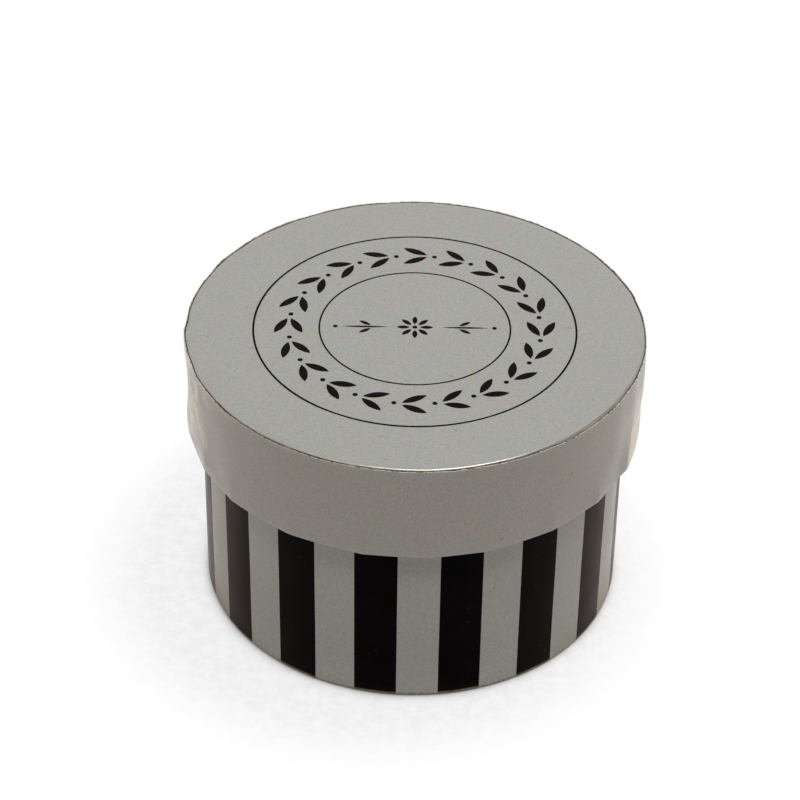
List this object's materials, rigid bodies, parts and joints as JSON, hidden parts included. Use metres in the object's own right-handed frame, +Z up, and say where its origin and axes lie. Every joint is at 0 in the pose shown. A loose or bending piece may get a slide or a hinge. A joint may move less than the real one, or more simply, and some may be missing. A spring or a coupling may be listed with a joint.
{
  "type": "round gift box",
  "caption": "Round rigid gift box of wrapped paperboard, with a striped base and a plain grey lid that lifts straight off.",
  "frame": {"origin": "middle of the box's underside, on the surface that it stands on", "axes": "+Z up along the axis of the box, -Y towards the viewer of the picture"},
  "size_m": [0.09, 0.09, 0.059],
  "materials": {
    "greyboard": "matt, fibrous greyboard",
    "silver_paper": "satin silver-grey printed art paper",
    "black_ink": "satin black print",
    "lid_ink": "satin black fine print",
    "lining_paper": "matt uncoated white paper",
    "base_paper": "satin silver-grey printed art paper"
  },
  "bodies": {
    "base": {"base_tube": "greyboard", "base_board_disc": "greyboard", "base_wrap": "silver_paper", "base_stripes": "black_ink", "base_under_paper": "base_paper", "base_inner_liner": "lining_paper", "base_floor_paper": "lining_paper"},
    "lid": {"lid_hoop": "greyboard", "lid_board_disc": "greyboard", "lid_side_wrap": "silver_paper", "lid_top_paper": "silver_paper", "lid_print": "lid_ink", "lid_inner_liner": "lining_paper", "lid_ceiling_paper": "lining_paper"}
  },
  "joints": [
    {"name": "lid_lift", "type": "slide", "parent": "base", "child": "lid", "axis": [0, 0, 1], "range_m": [0, 0.08]}
  ]
}
